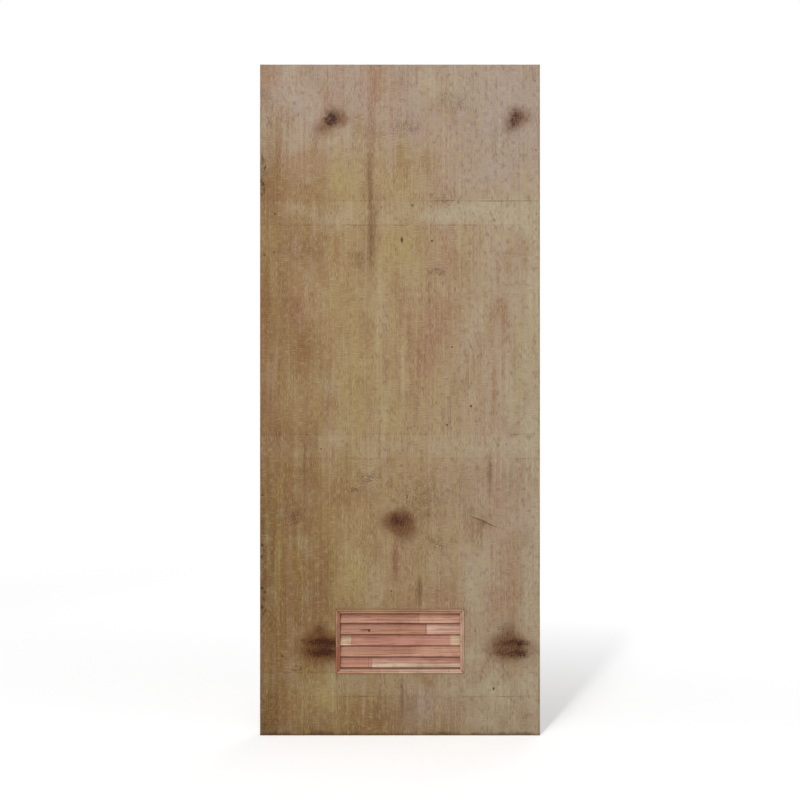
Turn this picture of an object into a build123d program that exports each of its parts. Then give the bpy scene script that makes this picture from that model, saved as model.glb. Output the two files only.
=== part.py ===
"""Flush door leaf with a fixed timber louver near its foot.

Two plywood skins are glued over a ladder frame of softwood stiles and rails.
Low in the leaf a louver is let through both skins: a thin lining with five
sloping slats housed in its jambs, trimmed on each face by mitred beads.

Units are millimetres. The leaf stands in the XZ plane: +Z is up, the outside
face looks along -Y, and the hinge edge lies in the plane x = 0. The origin is
at the foot of the hinge edge, in the middle of the leaf's thickness.
"""

import os
from math import cos, radians, sin

from build123d import *

# The leaf and its two skins
leaf_width = 876.0
leaf_height = 2100.0
skin_thickness = 5.0
core_thickness = 30.0
arris = 0.8

# The ladder frame between the skins
stile_width = 60.0
rail_height = 76.0
lock_rail_centre = 905.0
upper_rail_drop = 464.0
tongue_thickness = 10.0
tongue_length = 9.5
groove_end_gap = 0.5
trimmer_width = 40.0
ribs_above_lock = 2
ribs_below_top = 1
ribs_below_lock = 1

# The louver let through the leaf
gap_under_sill_rail = 46.5
opening_width = 376.0
lining_thickness = 9.0
housing_depth = 4.0
fit_clearance = 0.15

# Its slats, which slope down towards the outside
slat_count = 5
slat_pitch = 35.0
slat_width = 46.0
slat_thickness = 8.0
slat_tilt = 60.0
slat_edge_radius = 1.6
head_reveal = 33.0
foot_reveal = 2.0

# The mitred bead round each face of the louver
bead_width = 13.0
bead_flat_height = 3.0
bead_crown_height = 4.0
bead_outer_height = 1.4
quirk_width = 0.7
quirk_depth = 1.0
bead_inner_chamfer = 0.8

# What follows from the sizes above
leaf_thickness = core_thickness + 2 * skin_thickness
groove_depth = tongue_length + groove_end_gap
bay_width = leaf_width - 2 * stile_width
opening_height = head_reveal + (slat_count - 1) * slat_pitch + foot_reveal
lining_width = opening_width + 2 * lining_thickness
lining_height = opening_height + 2 * lining_thickness
lining_bottom = rail_height + gap_under_sill_rail + rail_height
opening_bottom = lining_bottom + lining_thickness
opening_top = opening_bottom + opening_height
opening_middle = opening_bottom + opening_height / 2
middle_x = leaf_width / 2

rail_centres = {
    "bottom_rail": rail_height / 2,
    "louver_sill_rail": lining_bottom - rail_height / 2,
    "louver_head_rail": lining_bottom + lining_height + rail_height / 2,
    "lock_rail": lock_rail_centre,
    "upper_rail": leaf_height - upper_rail_drop,
    "top_rail": leaf_height - rail_height / 2,
}


def evenly_between(low, high, count):
    """Heights that divide the way from low to high into count + 1 equal steps."""
    return [low + (high - low) * step / (count + 1) for step in range(1, count + 1)]


def skin(face_side):
    """A plywood sheet over the whole leaf, cut out for the louver. Its outer edges are eased."""
    outer_face = Plane.XZ.offset(-face_side * leaf_thickness / 2)
    with BuildPart() as sheet:
        with BuildSketch(outer_face):
            with Locations((middle_x, leaf_height / 2)):
                Rectangle(leaf_width, leaf_height)
            with Locations((middle_x, opening_middle)):
                Rectangle(lining_width, lining_height, mode=Mode.SUBTRACT)
        extrude(amount=face_side * skin_thickness)
        outside = sheet.faces().sort_by(Axis.Y)[0 if face_side < 0 else -1]
        chamfer(outside.outer_wire().edges(), length=arris)
    return sheet


def stile(outer_x, inward):
    """A full-height upright, grooved down its inner edge for the tongues of the rails."""
    with BuildPart() as upright:
        with BuildSketch(Plane.XY):
            with Locations((outer_x + inward * stile_width / 2, 0)):
                Rectangle(stile_width, core_thickness)
            with Locations((outer_x + inward * (stile_width - groove_depth / 2), 0)):
                Rectangle(groove_depth, tongue_thickness, mode=Mode.SUBTRACT)
        extrude(amount=leaf_height)
    return upright


def rail(centre_height):
    """A cross rail that butts between the stiles, with a tongue in each one's groove."""
    with BuildPart() as crosspiece:
        with BuildSketch(Plane.XY.offset(centre_height - rail_height / 2)):
            with Locations((middle_x, 0)):
                Rectangle(bay_width, core_thickness)
                Rectangle(bay_width + 2 * tongue_length, tongue_thickness)
        extrude(amount=rail_height)
    return crosspiece


def trimmer(side):
    """A short upright batten between the louver's two rails, against the lining's jamb."""
    with BuildPart() as batten:
        with BuildSketch(Plane.XY.offset(lining_bottom)):
            with Locations((middle_x + side * (lining_width + trimmer_width) / 2, 0)):
                Rectangle(trimmer_width, core_thickness)
        extrude(amount=lining_height)
    return batten


def slat_lowest_offset():
    """How far a slat's centre lies above the lowest point of its section."""
    tilt = radians(slat_tilt)
    flat_ends = (slat_width - 2 * slat_edge_radius) * sin(tilt)
    flat_sides = (slat_thickness - 2 * slat_edge_radius) * cos(tilt)
    return (flat_ends + flat_sides) / 2 + slat_edge_radius


def slat_centre_height(number):
    """Slats are counted from the top, and each one's nose is a pitch below the last."""
    nose = opening_top - head_reveal - (number - 1) * slat_pitch
    return nose + slat_lowest_offset()


def draw_slat_outline(number, growth):
    """Draws a slat's rounded section in the open sketch, planed level where it meets the head."""
    with Locations((0, slat_centre_height(number))):
        RectangleRounded(
            slat_width + 2 * growth,
            slat_thickness + 2 * growth,
            slat_edge_radius + growth,
            rotation=slat_tilt,
        )
    with Locations((0, opening_middle)):
        Rectangle(2 * leaf_thickness, opening_height, mode=Mode.INTERSECT)


def slat(number):
    """One louver board, long enough to sit in the housings of both jambs."""
    half_length = opening_width / 2 + housing_depth - fit_clearance
    with BuildPart() as board:
        with BuildSketch(Plane.YZ.offset(middle_x - half_length)):
            draw_slat_outline(number, 0)
        extrude(amount=2 * half_length)
    return board


def jamb(side):
    """An upright of the louver's lining, housed for the end of every slat."""
    inner_x = middle_x + side * opening_width / 2
    with BuildPart() as upright:
        with BuildSketch(Plane.XY.offset(lining_bottom)):
            with Locations((inner_x + side * lining_thickness / 2, 0)):
                Rectangle(lining_thickness, leaf_thickness)
        extrude(amount=lining_height)
        for number in range(1, slat_count + 1):
            with BuildSketch(Plane.YZ.offset(inner_x)):
                draw_slat_outline(number, fit_clearance)
            extrude(amount=side * housing_depth, mode=Mode.SUBTRACT)
    return upright


def lining_board(bottom):
    """The head or the sill of the louver's lining, between its jambs."""
    with BuildPart() as board:
        with BuildSketch(Plane.XY.offset(bottom)):
            with Locations((middle_x, 0)):
                Rectangle(opening_width, leaf_thickness)
        extrude(amount=lining_thickness)
    return board


def bead(start, end, face_side):
    """One side of the trim round an opening, from corner to corner, mitred at both ends.

    Seen from outside the leaf, the opening lies to the right of the way it runs. A flat lies
    next to the opening, then a narrow quirk, then a rounded bead.
    """
    run = (end - start).normalized()
    outward = Vector(0, face_side, 0).cross(run)
    quirk_start = (bead_width - quirk_width) / 2
    crown_start = quirk_start + quirk_width
    quirk_floor = bead_flat_height - quirk_depth
    with BuildPart() as strip:
        with BuildSketch(Plane(origin=start - run * bead_width, x_dir=outward, z_dir=run)):
            with BuildLine():
                flats = Polyline(
                    (crown_start, quirk_floor),
                    (quirk_start, quirk_floor),
                    (quirk_start, bead_flat_height),
                    (bead_inner_chamfer, bead_flat_height),
                    (0, bead_flat_height - bead_inner_chamfer),
                    (0, 0),
                    (bead_width, 0),
                    (bead_width, bead_outer_height),
                )
                crown = ((crown_start + bead_width) / 2, bead_crown_height)
                ThreePointArc(flats @ 1, crown, flats @ 0)
            make_face()
        extrude(amount=(end - start).length + 2 * bead_width)
        split(bisect_by=Plane(origin=start, z_dir=outward + run), keep=Keep.TOP)
        split(bisect_by=Plane(origin=end, z_dir=outward - run), keep=Keep.TOP)
    return strip


def bead_ring(face_side):
    """The four mitred beads on one face, named by the side of the opening that each one trims."""
    left, right = middle_x - opening_width / 2, middle_x + opening_width / 2
    face_y = face_side * leaf_thickness / 2
    lower_left = Vector(left, face_y, opening_bottom)
    upper_left = Vector(left, face_y, opening_top)
    upper_right = Vector(right, face_y, opening_top)
    lower_right = Vector(right, face_y, opening_bottom)
    runs = {
        "left": (lower_left, upper_left),
        "top": (upper_left, upper_right),
        "right": (upper_right, lower_right),
        "bottom": (lower_right, lower_left),
    }
    if face_side > 0:
        runs = {side: (end, start) for side, (start, end) in runs.items()}
    return {side: bead(start, end, face_side) for side, (start, end) in runs.items()}


pieces = {
    "front_skin": skin(-1),
    "back_skin": skin(1),
    "hinge_stile": stile(0, 1),
    "lock_stile": stile(leaf_width, -1),
    "louver_trimmer_left": trimmer(-1),
    "louver_trimmer_right": trimmer(1),
    "louver_jamb_left": jamb(-1),
    "louver_jamb_right": jamb(1),
    "louver_head": lining_board(opening_top),
    "louver_sill": lining_board(lining_bottom),
}

for name, centre_height in rail_centres.items():
    pieces[name] = rail(centre_height)

rib_heights = (
    evenly_between(rail_centres["louver_head_rail"], rail_centres["lock_rail"], ribs_below_lock)
    + evenly_between(rail_centres["lock_rail"], rail_centres["upper_rail"], ribs_above_lock)
    + evenly_between(rail_centres["upper_rail"], rail_centres["top_rail"], ribs_below_top)
)
for number, centre_height in enumerate(rib_heights, start=1):
    pieces[f"core_rib_{number}"] = rail(centre_height)

for number in range(1, slat_count + 1):
    pieces[f"slat_{number}"] = slat(number)

for face_name, face_side in (("front", -1), ("back", 1)):
    for side, strip in bead_ring(face_side).items():
        pieces[f"{face_name}_bead_{side}"] = strip

os.makedirs("parts", exist_ok=True)
for name, piece in pieces.items():
    piece.part.label = name
    export_step(piece.part, f"parts/{name}.step")
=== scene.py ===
"""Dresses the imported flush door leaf: veneered faces, bare timber edges and a slatted louver."""

from math import cos, radians, sin
from types import SimpleNamespace

import bpy
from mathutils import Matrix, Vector


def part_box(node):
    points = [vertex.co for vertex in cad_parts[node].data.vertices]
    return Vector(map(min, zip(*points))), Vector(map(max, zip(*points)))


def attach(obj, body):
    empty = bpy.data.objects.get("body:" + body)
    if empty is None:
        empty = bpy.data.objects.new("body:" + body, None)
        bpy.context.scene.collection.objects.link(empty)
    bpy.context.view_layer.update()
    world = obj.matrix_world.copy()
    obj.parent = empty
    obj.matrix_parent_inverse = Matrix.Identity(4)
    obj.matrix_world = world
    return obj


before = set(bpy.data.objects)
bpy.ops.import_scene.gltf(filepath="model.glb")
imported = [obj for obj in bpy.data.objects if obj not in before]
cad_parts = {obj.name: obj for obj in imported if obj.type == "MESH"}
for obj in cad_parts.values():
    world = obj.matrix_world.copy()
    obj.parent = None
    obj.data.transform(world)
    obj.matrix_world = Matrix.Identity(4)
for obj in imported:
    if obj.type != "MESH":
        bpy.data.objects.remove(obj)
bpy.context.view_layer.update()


# The studio: a white floor that fades into a white room. Two long banks of light stand left
# of the camera, one above the other, with a weaker one behind the leaf and even light from
# the room. The camera looks square at the leaf's face.


def linear(red, green, blue):
    """A colour as a screen shows it, 0 to 255, turned into the shader's linear values."""
    def channel(value):
        value = value / 255
        return value / 12.92 if value <= 0.04045 else ((value + 0.055) / 1.055) ** 2.4
    return (channel(red), channel(green), channel(blue), 1.0)


class Wire:
    """One output of a shader's nodes. Arithmetic on it adds Math nodes."""

    def __init__(self, tree, output):
        self.tree = tree
        self.output = output

    def node(self, kind, inputs, output=0, **settings):
        """Adds a node with its settings, then its inputs, and gives one of its outputs, if any."""
        made = self.tree.nodes.new(kind)
        for name, value in settings.items():
            setattr(made, name, value)
        for name, value in inputs.items():
            if isinstance(value, Wire):
                self.tree.links.new(value.output, made.inputs[name])
            else:
                made.inputs[name].default_value = value
        return Wire(self.tree, made.outputs[output]) if made.outputs else None

    def math(self, operation, *others):
        return self.node("ShaderNodeMath", dict(enumerate((self,) + others)), operation=operation)

    def __add__(self, other):
        return self.math("ADD", other)

    def __sub__(self, other):
        return self.math("SUBTRACT", other)

    def __mul__(self, other):
        return self.math("MULTIPLY", other)

    def __rsub__(self, other):
        return self.node("ShaderNodeMath", {0: other, 1: self}, operation="SUBTRACT")

    __radd__ = __add__
    __rmul__ = __mul__

    def part(self, axis):
        """The X, Y or Z of a vector."""
        return self.node("ShaderNodeSeparateXYZ", {0: self}, output=axis)

    def scaled(self, *factors):
        """A vector stretched along each axis."""
        return self.node("ShaderNodeVectorMath", {0: self, 1: factors}, operation="MULTIPLY")

    def shifted(self, other):
        """A vector moved by another."""
        return self.node("ShaderNodeVectorMath", {0: self, 1: other}, operation="ADD")

    def steps(self, low, high, start=0.0, end=1.0):
        """Rises smoothly from start to end while the value goes from low to high."""
        inputs = {"Value": self, "From Min": low, "From Max": high, "To Min": start, "To Max": end}
        return self.node("ShaderNodeMapRange", inputs, interpolation_type="SMOOTHSTEP")

    def noise(self, detail=2.0, roughness=0.5, output="Fac", dimensions="3D"):
        """Noise read at this vector, around 0.5."""
        inputs = {"Vector": self, "Scale": 1.0, "Detail": detail, "Roughness": roughness}
        return self.node("ShaderNodeTexNoise", inputs, output=output, noise_dimensions=dimensions)

    def ovals(self, shapes):
        """How deep a place lies in ovals: 0 outside, each one's strength at its middle."""
        total = 0.0
        for across, up, half_width, half_height, strength, *lean in shapes:
            turn = (0.0, 0.0, sum(lean))
            inputs = {0: self, 1: (across, up, 0.0), 2: turn, 3: (half_width, half_height, 1.0)}
            inside = self.node("ShaderNodeMapping", inputs, vector_type="TEXTURE")
            inside = inside.node("ShaderNodeTexGradient", {0: inside}, output=1, gradient_type="SPHERICAL")
            total = inside.math("MULTIPLY_ADD", strength, total)
        return total

    def between(self, first, second):
        """The colour that lies this share of the way from the first to the second."""
        return self.node("ShaderNodeMix", {0: self, 6: first, 7: second}, output=2, data_type="RGBA")

    def blended(self, share, colour, blend="MIX"):
        """A colour blended with another one by a share."""
        inputs = {0: share, 6: self, 7: colour}
        return self.node("ShaderNodeMix", inputs, output=2, data_type="RGBA", blend_type=blend)


def object_place(tree):
    """The place on a piece that its pattern is drawn by."""
    return Wire(tree, tree.nodes.new("ShaderNodeTexCoord").outputs["Object"])


def room_seen(tree):
    """1 on rays that see the room directly or in a shine, 0 on the light it gives off."""
    path = tree.nodes.new("ShaderNodeLightPath")
    seen = [Wire(tree, path.outputs[f"Is {kind} Ray"]) for kind in ("Camera", "Glossy", "Transmission")]
    return seen[0].math("MAXIMUM", seen[1]).math("MAXIMUM", seen[2])


leaf_low, leaf_high = (Vector(corner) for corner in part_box("front_skin"))
leaf_centre = (leaf_low + leaf_high) / 2
leaf_height = leaf_high.z - leaf_low.z
leaf_pixels, photo_pixels = 671, 800  # how high the leaf and the whole photograph are
camera_distance = 4.5
sensor_width = 36.0

camera_data = bpy.data.cameras.new("camera")
camera_data.sensor_width = sensor_width
camera_data.lens = sensor_width * camera_distance * leaf_pixels / photo_pixels / leaf_height
camera = bpy.data.objects.new("camera", camera_data)
camera.location = (leaf_centre.x, leaf_low.y - camera_distance, leaf_centre.z)
camera.rotation_euler = (radians(90), 0, 0)
bpy.context.collection.objects.link(camera)
bpy.context.scene.camera = camera
bpy.context.scene.view_settings.view_transform = "Standard"


def strip_light(name, bearing, distance, height, aim_height, width, length, watts):
    """A long narrow bank of light, at a bearing left of straight in front, aimed at the leaf."""
    data = bpy.data.lights.new(name, "AREA")
    data.shape = "RECTANGLE"
    data.size, data.size_y = width, length
    data.energy = watts
    lamp = bpy.data.objects.new(name, data)
    turn = radians(bearing)
    lamp.location = (leaf_centre.x - sin(turn) * distance, -cos(turn) * distance, height)
    aim = Vector((leaf_centre.x, 0.0, aim_height)) - lamp.location
    lamp.rotation_euler = aim.to_track_quat("-Z", "Y").to_euler()
    lamp.visible_camera = False
    bpy.context.collection.objects.link(lamp)


strip_light("key_strip", 13, distance=5.5, height=3.0, aim_height=3.0, width=0.35, length=2.6, watts=161)
strip_light("high_strip", 13, distance=2.6, height=6.3, aim_height=0.3, width=0.35, length=4.2, watts=102)
strip_light("back_fill", 200, distance=5.0, height=2.6, aim_height=1.0, width=3.0, length=3.0, watts=55)

room_light = 0.303
room_white = 1.0
world = bpy.data.worlds.new("room")
bpy.context.scene.world = world
world.use_nodes = True
world.node_tree.nodes.clear()
seen = room_seen(world.node_tree)
strength = room_light + (room_white - room_light) * seen
shown = seen.node("ShaderNodeBackground", {"Color": (1, 1, 1, 1), "Strength": strength})
seen.node("ShaderNodeOutputWorld", {"Surface": shown})

floor_half = 14.0
floor_paint = 0.97
floor_glow_near, floor_glow_far = 0.31, 0.44
floor_glow_rise = (0.6, 3.5)
floor_fade = (2.2, 5.2)
floor_mesh = bpy.data.meshes.new("floor")
floor_corners = [(x, y, 0.0) for x, y in ((-1, -1), (1, -1), (1, 1), (-1, 1))]
floor_corners = [(leaf_centre.x + x * floor_half, y * floor_half, z) for x, y, z in floor_corners]
floor_mesh.from_pydata(floor_corners, [], [(0, 1, 2, 3)])
floor = bpy.data.objects.new("floor", floor_mesh)
bpy.context.collection.objects.link(floor)
floor_material = bpy.data.materials.new("white_floor")
floor_material.use_nodes = True
tree = floor_material.node_tree
tree.nodes.clear()
place = object_place(tree)
seen = room_seen(tree)
from_leaf = place.shifted((-leaf_centre.x, 0, 0))
distance = from_leaf.node("ShaderNodeVectorMath", {0: from_leaf}, output="Value", operation="LENGTH")
glow = distance.steps(*floor_glow_rise, floor_glow_near, floor_glow_far)
scuffs = place.scaled(2.0, 2.0, 2.0).noise(detail=4.0)
painted = seen.node(
    "ShaderNodeBsdfPrincipled",
    {
        "Base Color": (floor_paint, floor_paint, floor_paint, 1),
        "Roughness": scuffs.steps(0.2, 0.8, 0.75, 0.95),
        "Specular IOR Level": 0.0,
        "Emission Color": (seen * glow).between((0, 0, 0, 1), (1, 1, 1, 1)),
        "Emission Strength": 1.0,
    },
)
white = seen.node("ShaderNodeEmission", {"Color": (1, 1, 1, 1), "Strength": 1.0})
faded = distance.steps(*floor_fade) * seen
joined = seen.node("ShaderNodeMixShader", {0: faded, 1: painted, 2: white})
seen.node("ShaderNodeOutputMaterial", {"Surface": joined})
floor.data.materials.append(floor_material)


# The ladder frame between the faces: sawn pine stiles, rails, ribs and trimmers, joined by
# tongues in grooves and glued. Its edges show round the leaf, bare and browned by handling.


def start_finish(name):
    """A new material, and the place on the piece that its pattern is drawn by."""
    material = bpy.data.materials.new(name)
    material.use_nodes = True
    material.node_tree.nodes.clear()
    return material, object_place(material.node_tree)


def close_finish(place, colour, roughness, height, relief):
    """Ends a dull, bare material: its height runs from 0 to 1 over a relief in metres."""
    bump = place.node("ShaderNodeBump", {"Height": height, "Distance": relief})
    surface = {"Base Color": colour, "Roughness": roughness, "Normal": bump}
    surface["Specular IOR Level"] = dull_shine
    shader = place.node("ShaderNodeBsdfPrincipled", surface)
    place.node("ShaderNodeOutputMaterial", {"Surface": shader})


def dress(material, *names):
    """Gives CAD nodes a material."""
    for name in names:
        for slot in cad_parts[name].material_slots:
            slot.material = material


dull_shine = 0.15
pine_early, pine_late, pine_end = linear(196, 160, 114), linear(150, 106, 66), linear(122, 86, 54)
pine_fibre_tint, saw_mark_tint = linear(176, 140, 104), linear(190, 165, 140)
handled_tone = linear(120, 88, 60)
ring_rate = 1300.0  # radians of the rings' wave to a metre, so a ring about every 5 mm
sawn_relief = 0.0005


def turned(place, along, seed):
    """The place turned so that the grain runs up, and moved to another part of the log."""
    axes = [place.part((along + step) % 3) for step in (1, 2, 0)]
    return place.node("ShaderNodeCombineXYZ", dict(enumerate(axes))).shifted((seed, seed, seed))


def end_grain(place, along):
    """1 where a piece's sawn end shows."""
    facing = place.tree.nodes.new("ShaderNodeTexCoord").outputs["Normal"]
    return Wire(place.tree, facing).part(along).math("ABSOLUTE").steps(0.6, 0.8)


def pine(name, along, seed):
    """Sawn pine: growth rings that run along one axis, and open pores on its ends."""
    material, place = start_finish(name)
    log = turned(place, along, seed)
    sway = log.scaled(9.0, 9.0, 1.1).noise(detail=2.0) * 0.03
    radius = log.part(0) * log.part(0) + log.part(1) * log.part(1)
    rings = ((radius.math("SQRT") + sway) * ring_rate).math("SINE").steps(-0.6, 1.0)
    fibres = log.scaled(500.0, 500.0, 14.0).noise(detail=3.0)
    stain = place.scaled(9.0, 30.0, 5.0).noise(detail=4.0)
    saw_marks = log.scaled(3.0, 3.0, 420.0).noise(detail=2.0)
    ends = end_grain(place, along)
    colour = rings.between(pine_early, pine_late)
    colour = colour.blended(fibres.steps(0.45, 0.75) * 0.5, pine_fibre_tint, "MULTIPLY")
    colour = colour.blended(saw_marks.steps(0.5, 0.75) * 0.25, saw_mark_tint, "MULTIPLY")
    colour = colour.blended(stain.steps(0.42, 0.70) * 0.65, handled_tone)
    colour = colour.blended(ends * 0.55, pine_end)
    roughness = 0.66 + fibres * 0.2
    height = 0.4 + fibres * 0.35 + saw_marks * 0.15 - rings * 0.1 - ends * fibres * 0.3
    close_finish(place, colour, roughness, height, sawn_relief)
    return material


upright, level = 2, 0
dress(pine("pine_stile", upright, seed=0.31), "hinge_stile", "lock_stile")
dress(pine("pine_trimmer", upright, seed=0.83), "louver_trimmer_left", "louver_trimmer_right")
rails = [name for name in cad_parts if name.endswith("_rail") or name.startswith("core_rib")]
dress(pine("pine_rail", level, seed=0.57), *rails)
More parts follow.
